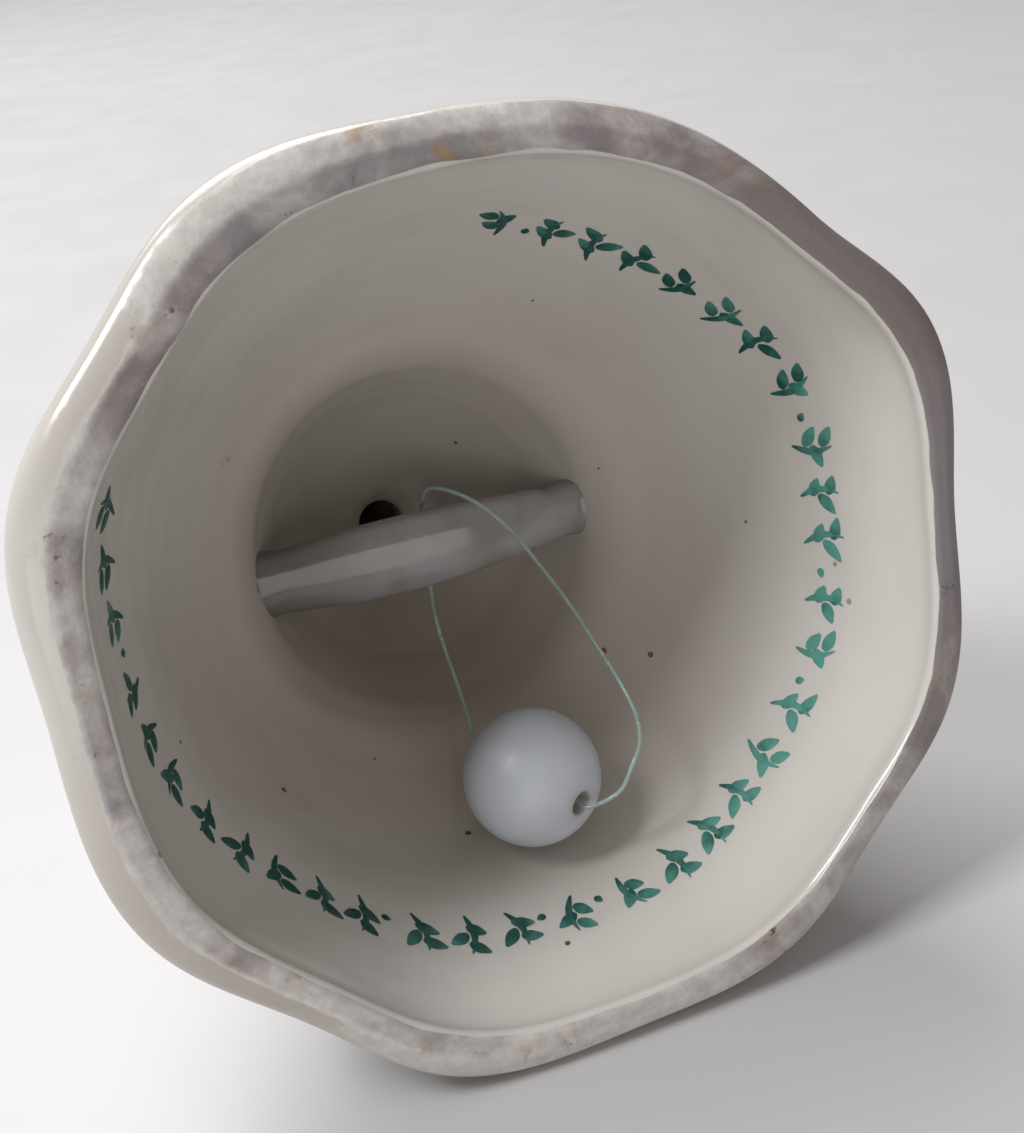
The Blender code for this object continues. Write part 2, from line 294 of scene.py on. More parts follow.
def spline_through(points, spacing):
    """Evenly spaced points on the smooth curve through these ones."""
    ends = [points[0] * 2 - points[1], *points, points[-1] * 2 - points[-2]]
    fine = []
    for a, b, c, d in zip(ends, ends[1:], ends[2:], ends[3:]):
        for i in range(SPLINE_STEPS):
            t = i / SPLINE_STEPS
            fine.append(0.5 * (2 * b + (c - a) * t + (2 * a - 5 * b + 4 * c - d) * t**2
                               + (3 * b - a - 3 * c + d) * t**3))
    fine.append(points[-1])
    travelled = [0.0]
    for a, b in zip(fine, fine[1:]):
        travelled.append(travelled[-1] + (b - a).length)
    count = max(2, round(travelled[-1] / spacing))
    even, i = [], 0
    for k in range(count + 1):
        wanted = travelled[-1] * k / count
        while i < len(fine) - 2 and travelled[i + 1] < wanted:
            i += 1
        share = (wanted - travelled[i]) / (travelled[i + 1] - travelled[i])
        even.append(fine[i].lerp(fine[i + 1], share))
    return even


def tube_points(line, radius, sides):
    """Rings round a line, turned along it without twist."""
    points = []
    across = None
    for i, centre in enumerate(line):
        ahead = (line[min(i + 1, len(line) - 1)] - line[max(i - 1, 0)]).normalized()
        if across is None:
            across = ahead.orthogonal()
        across = (across - ahead * across.dot(ahead)).normalized()
        upward = ahead.cross(across)
        for k in range(sides):
            turn = 2 * math.pi * k / sides
            points.append(centre + (across * math.cos(turn) + upward * math.sin(turn)) * radius)
    return points


# ---- Materials -----------------------------------------------------------------------------

# Linear colours.
GLAZE = (0.62, 0.595, 0.56)
GLAZE_SHADE = (0.585, 0.555, 0.515)
# A brown that paints shade inside the bell and in the handle's hollow, and stains the outside of the
# lip.
SHADE_AND_STAIN_BROWN = (0.235, 0.19, 0.145)
IRON_IN_GLAZE = (0.20, 0.12, 0.06)
CLAY = (0.60, 0.565, 0.54)
CLAY_SHADE = (0.49, 0.455, 0.435)
BROWN_DIRT = (0.19, 0.155, 0.145)
GREY_DIRT = (0.215, 0.19, 0.20)
OCHRE_STAIN = (0.30, 0.17, 0.06)
BLACK_MARK = (0.035, 0.028, 0.028)
# The bar's glaze tones, painted much darker than the body's glaze as painted shade deep in the crown.
SHADED_BAR_GLAZE = (0.265, 0.254, 0.256)
BAR_SHADE = (0.215, 0.203, 0.193)
# Dark slip where the bar's ends are luted, also painted as shade over the bar's left half.
SLIP_AND_SHADE_BROWN = (0.10, 0.088, 0.077)
# The white bead's tones, painted darker than its white as painted shade.
SHADED_BEAD_WHITE = (0.48, 0.505, 0.56)
BEAD_SHADE = (0.44, 0.46, 0.50)
BEAD_WORN = (0.40, 0.385, 0.36)
NYLON = (0.42, 0.56, 0.54)
NYLON_PALE = (0.56, 0.68, 0.66)
# Green paint: the full brush, and a pale thin tone that also stands as painted light on the inner
# ring's lit side.
FULL_BRUSH = (0.006, 0.070, 0.058)
THIN_AND_LIT_GREEN = (0.09, 0.30, 0.25)
BURNT_SPECK = (0.10, 0.05, 0.02)
RUSTY_SPECK = (0.22, 0.12, 0.05)
TABLE = (0.505, 0.497, 0.50)
TABLE_PALE = (0.525, 0.516, 0.52)

GLASSY_IOR = 1.5
BEAD_IOR = 1.48
NYLON_IOR = 1.53
TABLE_IOR = 1.45

# Depths of surface relief, in metres.
COARSE_RELIEF = 0.0002
FINE_RELIEF = 0.0001

# Sockets of the Mix node when it mixes colours.
MIX_FIRST = 6
MIX_SECOND = 7
MIX_RESULT = 2


class Nodes:
    """A material's nodes, made and joined in few words."""

    def __init__(self, name, ior):
        self.material = bpy.data.materials.new(name)
        self.material.use_nodes = True
        self.tree = self.material.node_tree
        self.shader = self.tree.nodes["Principled BSDF"]
        self.shader.inputs["IOR"].default_value = ior

    def join(self, value, socket):
        if hasattr(value, "is_output"):
            self.tree.links.new(value, socket)
        else:
            socket.default_value = value

    def place(self):
        return self.tree.nodes.new("ShaderNodeTexCoord").outputs["Object"]

    def value_of(self, attribute):
        node = self.tree.nodes.new("ShaderNodeAttribute")
        node.attribute_name = attribute
        return node.outputs["Fac"]

    def noise(self, scale, detail, roughness=0.5, distortion=0.0):
        node = self.tree.nodes.new("ShaderNodeTexNoise")
        self.join(self.place(), node.inputs["Vector"])
        node.inputs["Scale"].default_value = scale
        node.inputs["Detail"].default_value = detail
        node.inputs["Roughness"].default_value = roughness
        node.inputs["Distortion"].default_value = distortion
        return node.outputs["Fac"]

    def cells(self, scale):
        node = self.tree.nodes.new("ShaderNodeTexVoronoi")
        self.join(self.place(), node.inputs["Vector"])
        node.inputs["Scale"].default_value = scale
        return node.outputs["Distance"]

    def steps(self, value, low, high, bottom=0.0, top=1.0):
        """value from low..high to bottom..top, held at both ends."""
        node = self.tree.nodes.new("ShaderNodeMapRange")
        node.interpolation_type = "SMOOTHSTEP"
        for socket, given in zip(node.inputs, (value, low, high, bottom, top)):
            self.join(given, socket)
        return node.outputs["Result"]

    def combine(self, how, first, second):
        node = self.tree.nodes.new("ShaderNodeMath")
        node.operation = how
        self.join(first, node.inputs[0])
        self.join(second, node.inputs[1])
        return node.outputs[0]

    def times(self, first, second):
        return self.combine("MULTIPLY", first, second)

    def plus(self, first, second):
        return self.combine("ADD", first, second)

    def wavering(self, value, scale, detail, amount):
        """value, with noise of this amount to both sides of it."""
        centred = self.combine("SUBTRACT", self.noise(scale, detail), 0.5)
        return self.plus(value, self.times(centred, amount))

    def mix(self, share, first, second):
        node = self.tree.nodes.new("ShaderNodeMix")
        node.data_type = "RGBA"
        self.join(share, node.inputs["Factor"])
        for value, socket in ((first, MIX_FIRST), (second, MIX_SECOND)):
            colour = value if hasattr(value, "is_output") else (*value, 1)
            self.join(colour, node.inputs[socket])
        return node.outputs[MIX_RESULT]

    def colour(self, value):
        self.join(value, self.shader.inputs["Base Color"])

    def roughness(self, value):
        self.join(value, self.shader.inputs["Roughness"])

    def relief(self, height, strength, distance):
        node = self.tree.nodes.new("ShaderNodeBump")
        node.inputs["Strength"].default_value = strength
        node.inputs["Distance"].default_value = distance
        self.join(height, node.inputs["Height"])
        self.join(node.outputs["Normal"], self.shader.inputs["Normal"])


def glaze_colour(nodes):
    """Off-white glaze, browned by painted shade deep inside the bell and in the handle's hollow, and by
    a handled stain outside the lip, with a few iron specks.
    """
    cloud = nodes.noise(scale=45, detail=3)
    glaze = nodes.mix(nodes.steps(cloud, 0.35, 0.7), GLAZE, GLAZE_SHADE)
    # Painted shade inside, and a real stain outside the lip, both carried by one value.
    glaze = nodes.mix(nodes.value_of("shade_and_stain"), glaze, SHADE_AND_STAIN_BROWN)
    dots = nodes.steps(nodes.cells(scale=260), 0.05, 0.1, 1, 0)
    patches = nodes.steps(nodes.noise(scale=90, detail=1), 0.64, 0.7)
    specks = nodes.times(dots, patches)
    return nodes.mix(nodes.times(specks, 0.7), glaze, IRON_IN_GLAZE)


def clay_colour(nodes):
    """The bare clay of the lip, with dirt and painted shade, ochre stains and black marks."""
    fine = nodes.noise(scale=900, detail=4, roughness=0.6)
    clay = nodes.mix(nodes.steps(fine, 0.3, 0.7), CLAY, CLAY_SHADE)
    tint = nodes.steps(nodes.noise(scale=60, detail=3), 0.35, 0.65)
    dirt = nodes.mix(tint, BROWN_DIRT, GREY_DIRT)
    smear = nodes.noise(scale=130, detail=6, roughness=0.62, distortion=0.6)
    # Real dirt and painted shade, greyest on the lip's right, away from the light.
    grime_and_shade = nodes.times(nodes.value_of("grime_and_shade"), 0.75)
    clay = nodes.mix(nodes.steps(nodes.plus(smear, grime_and_shade), 0.6, 1.1), clay, dirt)
    patches = nodes.steps(nodes.noise(scale=150, detail=4, roughness=0.6), 0.58, 0.68)
    clay = nodes.mix(nodes.times(patches, nodes.value_of("ochre")), clay, OCHRE_STAIN)
    flecks = nodes.steps(nodes.noise(scale=320, detail=5, roughness=0.7), 0.60, 0.68)
    clusters = nodes.steps(nodes.noise(scale=75, detail=2), 0.5, 0.6)
    return nodes.mix(nodes.times(flecks, clusters), clay, BLACK_MARK)


def porcelain_material():
    """Clear glaze over off-white porcelain, and the bare, stained land of the lip."""
    nodes = Nodes("glazed_porcelain", GLASSY_IOR)
    ragged = nodes.wavering(nodes.value_of("bare"), scale=210, detail=4, amount=0.55)
    bare = nodes.steps(ragged, 0.42, 0.58)
    nodes.colour(nodes.mix(bare, glaze_colour(nodes), clay_colour(nodes)))
    nodes.roughness(nodes.steps(bare, 0, 1, 0.17, 0.72))
    grain = nodes.times(nodes.noise(scale=1500, detail=5, roughness=0.65), bare)
    orange_peel = nodes.times(nodes.noise(scale=160, detail=2), 0.5)
    nodes.relief(nodes.plus(grain, orange_peel), 0.35, COARSE_RELIEF)
    return nodes.material


def bar_material():
    """The bar's glossy glaze, painted darker than the body's glaze as painted shade, with faint smears.
    """
    nodes = Nodes("glazed_bar", GLASSY_IOR)
    cloud = nodes.noise(scale=170, detail=4, roughness=0.55)
    tone = nodes.mix(nodes.steps(cloud, 0.35, 0.68), SHADED_BAR_GLAZE, BAR_SHADE)
    # Dark slip at the bar's luted ends, and painted shade over its left half.
    nodes.colour(nodes.mix(nodes.value_of("luted_slip_and_shade"), tone, SLIP_AND_SHADE_BROWN))
    nodes.roughness(nodes.steps(nodes.noise(scale=240, detail=3), 0.3, 0.7, 0.07, 0.15))
    nodes.relief(nodes.noise(scale=160, detail=2), 0.25, COARSE_RELIEF)
    return nodes.material


def bead_material():
    """Satin white, a little cool, painted darker as painted shade, with fine rubbed marks."""
    nodes = Nodes("white_bead", BEAD_IOR)
    nodes.shader.inputs["Subsurface Weight"].default_value = 0.12
    nodes.shader.inputs["Subsurface Scale"].default_value = 0.002
    cloud = nodes.noise(scale=220, detail=4)
    tone = nodes.mix(nodes.steps(cloud, 0.3, 0.7), SHADED_BEAD_WHITE, BEAD_SHADE)
    nodes.colour(nodes.mix(nodes.value_of("worn"), tone, BEAD_WORN))
    nodes.roughness(nodes.steps(nodes.noise(scale=420, detail=4), 0.3, 0.7, 0.34, 0.50))
    nodes.relief(nodes.noise(scale=700, detail=4), 0.2, FINE_RELIEF)
    return nodes.material


def nylon_material():
    """Clear, pale green-blue monofilament."""
    nodes = Nodes("nylon_line", NYLON_IOR)
    nodes.shader.inputs["Transmission Weight"].default_value = 0.5
    cloud = nodes.noise(scale=300, detail=3)
    nodes.colour(nodes.mix(nodes.steps(cloud, 0.35, 0.65), NYLON, NYLON_PALE))
    nodes.roughness(nodes.steps(nodes.noise(scale=700, detail=2), 0.3, 0.7, 0.16, 0.28))
    return nodes.material


def paint_material():
    """Brushed green enamel, darker where the brush was full, paler where the paint ran thin, and paler
    on the inner ring's lit side as painted light.
    """
    nodes = Nodes("green_brushwork", GLASSY_IOR)
    wash_and_light = nodes.wavering(nodes.value_of("wash_and_light"), scale=700, detail=4, amount=0.9)
    nodes.colour(nodes.mix(nodes.steps(wash_and_light, 0.15, 0.95), FULL_BRUSH, THIN_AND_LIT_GREEN))
    nodes.roughness(nodes.steps(nodes.noise(scale=500, detail=3), 0.3, 0.7, 0.22, 0.4))
    nodes.relief(nodes.noise(scale=1100, detail=3), 0.3, FINE_RELIEF)
    return nodes.material


def speck_material():
    """Burnt brown iron."""
    nodes = Nodes("iron_speck", GLASSY_IOR)
    cloud = nodes.noise(scale=2500, detail=3)
    nodes.colour(nodes.mix(nodes.steps(cloud, 0.4, 0.6), BURNT_SPECK, RUSTY_SPECK))
    nodes.roughness(nodes.steps(nodes.noise(scale=900, detail=2), 0.3, 0.7, 0.2, 0.35))
    return nodes.material


# ---- The body ------------------------------------------------------------------------------

BODY_STEPS = 288
OUTSIDE_ROWS = 64
LIP_ROWS = 14
BARE_ROWS = 6
LAND_ROWS = 6
LAND_WIDTH = 0.9
EVEN_LAND = 1.2
INSIDE_ROWS = 78
VENT_ROWS = 6
INNER_TOP = 54.9

# The faces here stand this far inside the CAD's, to stay within its box.
SETBACK = 0.02

LIP_HEIGHT, LIP_RADIUS = OUTER_WALL[0]

# The edge of the glaze inside the land: (radius, height, how bare).
GLAZE_EDGE = ((35.3, 0.05, 0.9), (35.02, 0.18, 0.55), (34.86, 0.36, 0.25), (34.74, 0.6, 0.05),
              (34.72, 0.85, 0.0), (34.76, 1.15, 0.0))

# How grey and how ochre the bare lip is, by the angle round it. The grey is real dirt and painted shade
# together, darkest on the right, away from the light.
GRIME_AND_SHADE = ((-180, 0.5), (-150, 0.6), (-115, 0.48), (-80, 0.46), (-45, 0.48), (-10, 0.32),
         (25, 0.45), (60, 0.7), (95, 1.0), (130, 0.95), (155, 0.6), (180, 0.5))
OCHRE = ((-180, 0.7), (-150, 0.45), (-110, 0.3), (-75, 0.8), (-45, 1.0), (-15, 0.8),
         (20, 0.3), (60, 0.25), (100, 0.2), (150, 0.35), (180, 0.6))

# The lip's side away from the light. On the rounding the dirt and painted shade fade towards the other,
# lit side, and the glaze runs round the lip there.
RIGHT_SIDE = 95
WIPE_SHARPNESS = 3.5
SHADE_AND_DIRT_FADE = 0.95
GLAZE_RUN = 0.62


def throwing_marks(z):
    """Faint steps inside, left by the mould and by the slip as it drained."""
    return (-0.07 * bump(z, 28.5, 1.3) + 0.06 * bump(z, 31, 1.6) + 0.06 * bump(z, 44, 1.8)
            + 0.015 * math.sin(1.9 * z))


def inside_unevenness(spot):
    return 0.16 * (noise.noise(spot * 0.09) + 0.5 * noise.noise(spot * 0.21))


def outside_unevenness(spot):
    return 0.10 * (noise.noise(spot * 0.08) - 0.6)


def lip_unevenness(spot):
    return 0.35 * noise.noise(spot * 0.33)


def painted_inner_shade(angle, z):
    """Painted shade inside: darker deeper in and round the crown, and most on the lower wall, where the
    rim's shadow falls.
    """
    lower = 0.5 + 0.5 * math.cos(math.radians(angle + 12))
    return (0.30 * ease((z - 8) / 34) + 0.10 * ease((z - 22) / 6) + 0.3 * bump(z, 55, 4)
            + 0.40 * lower**2 * ease((z - 12) / 8))


def rim_wash(angle, z):
    """How brown the glaze is outside, where the lip has been handled."""
    sides = 0.55 * bump(angle, -52, 34) + 0.30 * bump(angle, -140, 34)
    return sides * (1 - ease((z - 2) / 9))


def wiped_side(radius, angle):
    """1 on the lip's rounding where it faces left, and 0 on its flat land and on the right."""
    rounded = min(max((radius - LAND_OUTER) / (LIP_RADIUS - LAND_OUTER), 0), 1)
    leftness = 0.5 - 0.5 * math.cos(math.radians(angle - RIGHT_SIDE))
    return leftness * ease(rounded * WIPE_SHARPNESS)


def dirt_and_shade_share(radius, angle):
    """How much of the lip's dirt and painted shade is kept here: less on the rounding's lit left side.
    """
    return 1 - SHADE_AND_DIRT_FADE * wiped_side(radius, angle)


def bare_share(radius, angle):
    """How bare the clay is here: on the left the glaze runs a little way round the lip."""
    return 1 - GLAZE_RUN * wiped_side(radius, angle)


def body_profile():
    """(radius, height, bare, side) all round the wall's half section. Side 1 is outside."""
    section = [(VENT_RADIUS, CROWN_TOP, 0.0, 1)]
    for i in range(OUTSIDE_ROWS + 1):
        z = CROWN_TOP + (LIP_HEIGHT - CROWN_TOP) * i / OUTSIDE_ROWS
        section.append((smooth_value(OUTER_WALL, z) - SETBACK, z, 0.0, 1))
    for i in range(1, LIP_ROWS):
        turn = math.pi / 2 * i / LIP_ROWS
        radius = LAND_OUTER + (LIP_RADIUS - SETBACK - LAND_OUTER) * math.cos(turn)
        height = LIP_HEIGHT * (1 - math.sin(turn))
        section.append((radius, height, ease((i - 1) / BARE_ROWS), 1))
    for i in range(LAND_ROWS):
        section.append((LAND_OUTER - LAND_WIDTH * i / (LAND_ROWS - 1), SETBACK, 1.0, 0))
    for radius, z, uncovered in GLAZE_EDGE:
        section.append((radius, z, uncovered, 0))
    start = GLAZE_EDGE[-1][1]
    for i in range(1, INSIDE_ROWS + 1):
        z = start + (INNER_TOP - start) * i / INSIDE_ROWS
        section.append((smooth_value(INNER_WALL, z) + throwing_marks(z), z, 0.0, 0))
    for i in range(1, VENT_ROWS):
        z = INNER_TOP + (CROWN_TOP - INNER_TOP) * i / VENT_ROWS
        section.append((VENT_RADIUS, z, 0.0, 0))
    return section


def body_unevenness(spot, z, side):
    """How far the wall strays from its smooth form. The lip and the crown keep theirs."""
    if 3 < z < 52 and side == 0:
        return inside_unevenness(spot)
    if side == 1 and z > 2:
        return outside_unevenness(spot)
    return 0.0


def make_body(finish):
    """The shell with its lip, and what its material reads at each point."""
    section = body_profile()
    points = []
    values = {"bare": [], "shade_and_stain": [], "grime_and_shade": [], "ochre": []}
    for radius, z, uncovered, side in section:
        for k in range(BODY_STEPS):
            angle = 360 * k / BODY_STEPS - 180
            spot = at_angle(radius, angle, z)
            reach = crimped(radius, angle, z) + body_unevenness(spot, z, side)
            if uncovered > 0 and radius < LAND_OUTER - EVEN_LAND:
                reach += lip_unevenness(spot) * uncovered
            shift = vent_shift(radius) if z > SCALLOP_DEPTH else Vector()
            points.append(at_angle(reach, angle, z) + shift)
            # Inside, painted shade; outside, a stain where the lip was handled.
            tint = painted_inner_shade(angle, z) if side == 0 else rim_wash(angle, z)
            values["bare"].append(uncovered * bare_share(radius, angle))
            values["shade_and_stain"].append(tint)
            # Dirt and painted shade on the lip, kept least on the lit left rounding.
            values["grime_and_shade"].append(smooth_value(GRIME_AND_SHADE, angle) * dirt_and_shade_share(radius, angle))
            values["ochre"].append(smooth_value(OCHRE, angle))
    faces = grid_faces(len(section), BODY_STEPS, closed_rings=True)
    body = faced_out(mesh_object("bell_shell", points, faces, finish))
    for name, amounts in values.items():
        set_values(body, name, amounts)
    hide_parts("bell_body")
    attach(body, "bell")


def wall_spot(angle, z, lift, outside=False):
    """A point on the wall's face, lifted off it."""
    wall = OUTER_WALL if outside else INNER_WALL
    flat = smooth_value(wall, z) + (0 if outside else throwing_marks(z))
    rough = at_angle(flat, angle, z)
    if outside:
        flat += outside_unevenness(rough) - SETBACK
    else:
        flat += inside_unevenness(rough)
    radius = crimped(flat, angle, z)
    slope = smooth_value(wall, z + 0.5) - smooth_value(wall, z - 0.5)
    steep = math.hypot(1, slope)
    sign = 1 if outside else -1
    return at_angle(radius + sign * lift / steep, angle, z - sign * lift * slope / steep)


# ---- Painted marks -------------------------------------------------------------------------

DAB_STEPS = 9
DAB_ACROSS = 4
PAINT_EDGE = 0.035
PAINT_BODY = 0.045
STEM_WIDTH = 0.72
LEAF_WIDTH = 1.3


def dab(points, faces, washes, place, centre, heading, length, width, wash_and_light, curve=0.0):
    """One leaf-shaped touch of the brush. centre and heading are in the wall's own plane."""
    start = len(points)
    turn = math.radians(heading)
    along = (math.cos(turn), math.sin(turn))
    side = (-math.sin(turn), math.cos(turn))
    for i in range(DAB_STEPS + 1):
        t = i / DAB_STEPS
        fullness = math.sin(math.pi * (0.06 + 0.88 * t)) ** 0.8 * (1.15 - 0.45 * t)
        half = width / 2 * max(0.10, fullness)
        bend = curve * math.sin(math.pi * t)
        for j in range(DAB_ACROSS + 1):
            s = 2 * j / DAB_ACROSS - 1
            u = centre[0] + along[0] * length * (t - 0.5) + side[0] * (half * s + bend)
            v = centre[1] + along[1] * length * (t - 0.5) + side[1] * (half * s + bend)
            crest = (1 - s * s) * math.sin(math.pi * min(max(t, 0.04), 0.96))
            points.append(place(u, v, PAINT_EDGE + PAINT_BODY * crest))
            washes.append(wash_and_light + 0.35 * t)
    for i in range(DAB_STEPS):
        for j in range(DAB_ACROSS):
            a = start + i * (DAB_ACROSS + 1) + j
            faces.append((a, a + 1, a + DAB_ACROSS + 2, a + DAB_ACROSS + 1))


def leaf_spray(add_dab, size, lean, wash_and_light, rng):
    """A generic spray of leaves: a short curved stem, with leaves to both sides of it."""
    stem = size * 0.95
    upward = 90 + lean
    add_dab((0, 0), upward, stem, STEM_WIDTH, wash_and_light, 0.12 * size * rng.choice((-1, 1)))
    for share, side in ((-0.22, 1), (-0.02, -1), (0.2, 1)):
        tilt = math.radians(upward)
        x = math.cos(tilt) * stem * share
        y = math.sin(tilt) * stem * share
        heading = upward + side * rng.uniform(-62, -46)
        reach = size * rng.uniform(0.40, 0.52)
        x += math.cos(math.radians(heading)) * reach * 0.5
        y += math.sin(math.radians(heading)) * reach * 0.5
        tone = wash_and_light + rng.uniform(-0.1, 0.2)
        add_dab((x, y), heading, reach, LEAF_WIDTH, tone, 0.05 * side)


# How far inside the mouth the ring of sprays stands, by the angle round it.
RING_HEIGHTS = ((-118, 9.5), (-95, 11.2), (-60, 13.4), (-20, 12.2), (10, 11.4), (40, 12.0),
                (90, 12.0), (120, 13.6), (150, 16.2), (172, 15.8))
RING_START = -115.0
RING_END = 170
RING_LIT_SIDE = 62
DOT_CHANCE = 0.22
DOT_ROOM = 2.6


def make_inner_marks(finish):
    """A ring of leaf sprays inside the mouth, open at the top left."""
    rng = random.Random(11)
    points, faces, washes = [], [], []
    angle = RING_START
    while angle < RING_END:
        z = smooth_value(RING_HEIGHTS, angle)
        radius = smooth_value(INNER_WALL, z)

        def place(u, v, lift, angle=angle, z=z, radius=radius):
            return wall_spot(angle + math.degrees(u / radius), z - v, lift)

        def add_dab(*words, place=place):
            dab(points, faces, washes, place, *words)

        # Painted light: the ring's paint turns paler towards its lit side.
        wash_and_light = 0.05 + 0.55 * bump(angle, RING_LIT_SIDE, 45) + rng.uniform(-0.05, 0.12)
        size = rng.uniform(4.3, 4.9)
        leaf_spray(add_dab, size, rng.uniform(-16, 16), wash_and_light, rng)
        step = rng.uniform(7.2, 8.6)
        if rng.random() < DOT_CHANCE:
            dot_at = (radius * math.radians(step) * 0.62, -0.5)
            add_dab(dot_at, rng.uniform(0, 180), 0.9, 0.8, wash_and_light, 0.0)
            step += DOT_ROOM
        angle += step
    ring = mesh_object("painted_ring", points, faces, finish)
    set_values(ring, "wash_and_light", washes)
    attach(ring, "bell")


# The three sprays at each lobe: (shift in degrees, height, size).
SKIRT_GROUP = ((-9, 13.5, 6.0), (0, 17.5, 8.0), (9, 13.5, 6.0))
SKIRT_BRUSH = 2.1

# The two painted lines: (height, half width).
SKIRT_LINES = ((47.5, 0.35), (9.0, 0.3))
LINE_STEPS = 160
LINE_SPOTS = (-1, -0.4, 0.4, 1)


def add_line(points, faces, washes, band, width):
    """One painted line round the outside."""
    start = len(points)
    row = len(LINE_SPOTS)
    for k in range(LINE_STEPS):
        angle = 360 * k / LINE_STEPS
        wobble = 0.12 * math.sin(3 * math.radians(angle) + band)
        for side in LINE_SPOTS:
            lift = 0.03 + 0.04 * (1 - side * side)
            points.append(wall_spot(angle, band + wobble + width * side, lift, True))
            washes.append(0.3 + 0.2 * math.sin(2 * math.radians(angle)))
    for k in range(LINE_STEPS):
        for j in range(row - 1):
            a = start + row * k + j
            b = start + row * ((k + 1) % LINE_STEPS) + j
            faces.append((a, b, b + 1, a + 1))


def make_outer_marks(finish):
    """Leaf sprays round the outside of the skirt, and a line above and below them."""
    rng = random.Random(5)
    points, faces, washes = [], [], []
    for angle, _, _ in SCALLOPS:
        for shift, z, size in SKIRT_GROUP:
            radius = smooth_value(OUTER_WALL, z)

            def place(u, v, lift, angle=angle + shift, z=z, radius=radius):
                return wall_spot(angle + math.degrees(u / radius), z + v, lift, outside=True)

            def add_dab(centre, heading, length, width, wash_and_light, curve, place=place):
                broad = SKIRT_BRUSH * width
                dab(points, faces, washes, place, centre, heading, length, broad, wash_and_light, curve)

            lean = -shift * 2.5 + rng.uniform(-6, 6)
            leaf_spray(add_dab, size, lean, rng.uniform(0.1, 0.5), rng)
    for band, width in SKIRT_LINES:
        add_line(points, faces, washes, band, width)
    marks = mesh_object("painted_skirt", points, faces, finish)
    set_values(marks, "wash_and_light", washes)
    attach(marks, "bell")


# Specks in the glaze: (angle, height, size).
SPECKS = ((45, 30.7, 0.34), (50, 27.3, 0.30), (-51, 23.4, 0.30), (-10, 23.3, 0.32),
          (129.5, 48.1, 0.22), (-2, 8.6, 0.26), (84, 20.5, 0.16), (-30, 30.0, 0.16),
          (150, 26.0, 0.15), (-75, 17.0, 0.18), (12, 29.0, 0.15), (100, 33.0, 0.14))
SPECK_SIDES = 10
SPECK_CREST = 0.07
SPECK_EDGE = 0.02


def make_specks(finish):
    """Iron specks burnt into the glaze inside."""
    rng = random.Random(3)
    points, faces = [], []
    for angle, z, size in SPECKS:
        radius = smooth_value(INNER_WALL, z)
        start = len(points)
        points.append(wall_spot(angle, z, SPECK_CREST))
        for k in range(SPECK_SIDES):
            turn = 2 * math.pi * k / SPECK_SIDES
            reach = size * rng.uniform(0.75, 1.2)
            spot = angle + math.degrees(reach * math.cos(turn) / radius)
            points.append(wall_spot(spot, z + 0.8 * reach * math.sin(turn), SPECK_EDGE))
            faces.append((start, start + 1 + k, start + 1 + (k + 1) % SPECK_SIDES))
    specks = mesh_object("glaze_specks", points, faces, finish)
    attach(specks, "bell")


# ---- Handle, bar, bead and thread ----------------------------------------------------------

HANDLE_SIDES = 96
HANDLE_ROWS = 60
HOLLOW_ROWS = 24
KNOB_ROWS = 33
AXIS_GAP = 0.02
HOLLOW_END = 4
SLIP_IN_HOLLOW = 0.4

# The fillet of slip at the handle's foot: (radius, height above its seat).
SEAT_DEPTH = 0.15
FOOT_FILLET = ((9.2, 0), (9.05, 0.35), (8.7, 0.8))
FILLET_ROWS = 3
FOOT_LIFT = 0.3


def handle_profile():
    """(radius, height) up the handle's hollow, round its foot and up its outside."""
    seat = CROWN_TOP - SEAT_DEPTH
    stem_height = HANDLE_WALL[-1][0]
    section = [(AXIS_GAP, KNOB_CENTRE - HOLLOW_END)]
    for i in range(HOLLOW_ROWS, 1, -1):
        z = stem_height * i / HOLLOW_ROWS
        bore = smooth_value(HANDLE_WALL, z) - HANDLE_THICKNESS - SLIP_IN_HOLLOW
        section.append((bore, CROWN_TOP + z))
    section.append((FOOT_BORE, seat))
    for radius, rise in FOOT_FILLET:
        section.append((radius, seat + rise))
    for i in range(FILLET_ROWS, HANDLE_ROWS + 1):
        z = stem_height * i / HANDLE_ROWS
        section.append((smooth_value(HANDLE_WALL, z) - SETBACK, CROWN_TOP + FOOT_LIFT + z))
    neck = section[-1][0]
    meets = math.asin(neck / KNOB_RADIUS)
    for i in range(1, KNOB_ROWS + 1):
        turn = math.pi - meets - (math.pi - meets) * i / KNOB_ROWS
        section.append((max(KNOB_RADIUS * math.sin(turn), AXIS_GAP),
                        KNOB_CENTRE + KNOB_RADIUS * math.cos(turn)))
    return section


def make_handle(finish):
    """The turned, hollow handle, with the fillet of slip that joins it to the crown."""
    section = handle_profile()
    dark_rows = HOLLOW_ROWS + 1
    points, shade_and_stain = [], []
    for row, (radius, z) in enumerate(section):
        for k in range(HANDLE_SIDES):
            angle = 360 * k / HANDLE_SIDES - 180
            spot = at_angle(radius, angle, z)
            uneven = 0.05 * (noise.noise(spot * 0.12) - 1) if radius > 1 and z > 62 else 0
            points.append(at_angle(radius + uneven, angle, z))
            # Painted shade: the hollow is dark all through. Outside, the handle is darker round the
            # foot's fillet and just under the knob.
            tint = 0.4 * bump(z, 62.5, 1.6) + 0.3 * bump(z, 104.8, 1.0)
            shade_and_stain.append(1.0 if row < dark_rows else tint)
    faces = grid_faces(len(section), HANDLE_SIDES) + end_caps(len(section), HANDLE_SIDES)
    handle = faced_out(mesh_object("handle_glazed", points, faces, finish))
    for name in ("bare", "grime_and_shade", "ochre"):
        set_values(handle, name, [0.0] * len(points))
    set_values(handle, "shade_and_stain", shade_and_stain)
    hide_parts("handle")
    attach(handle, "bell")


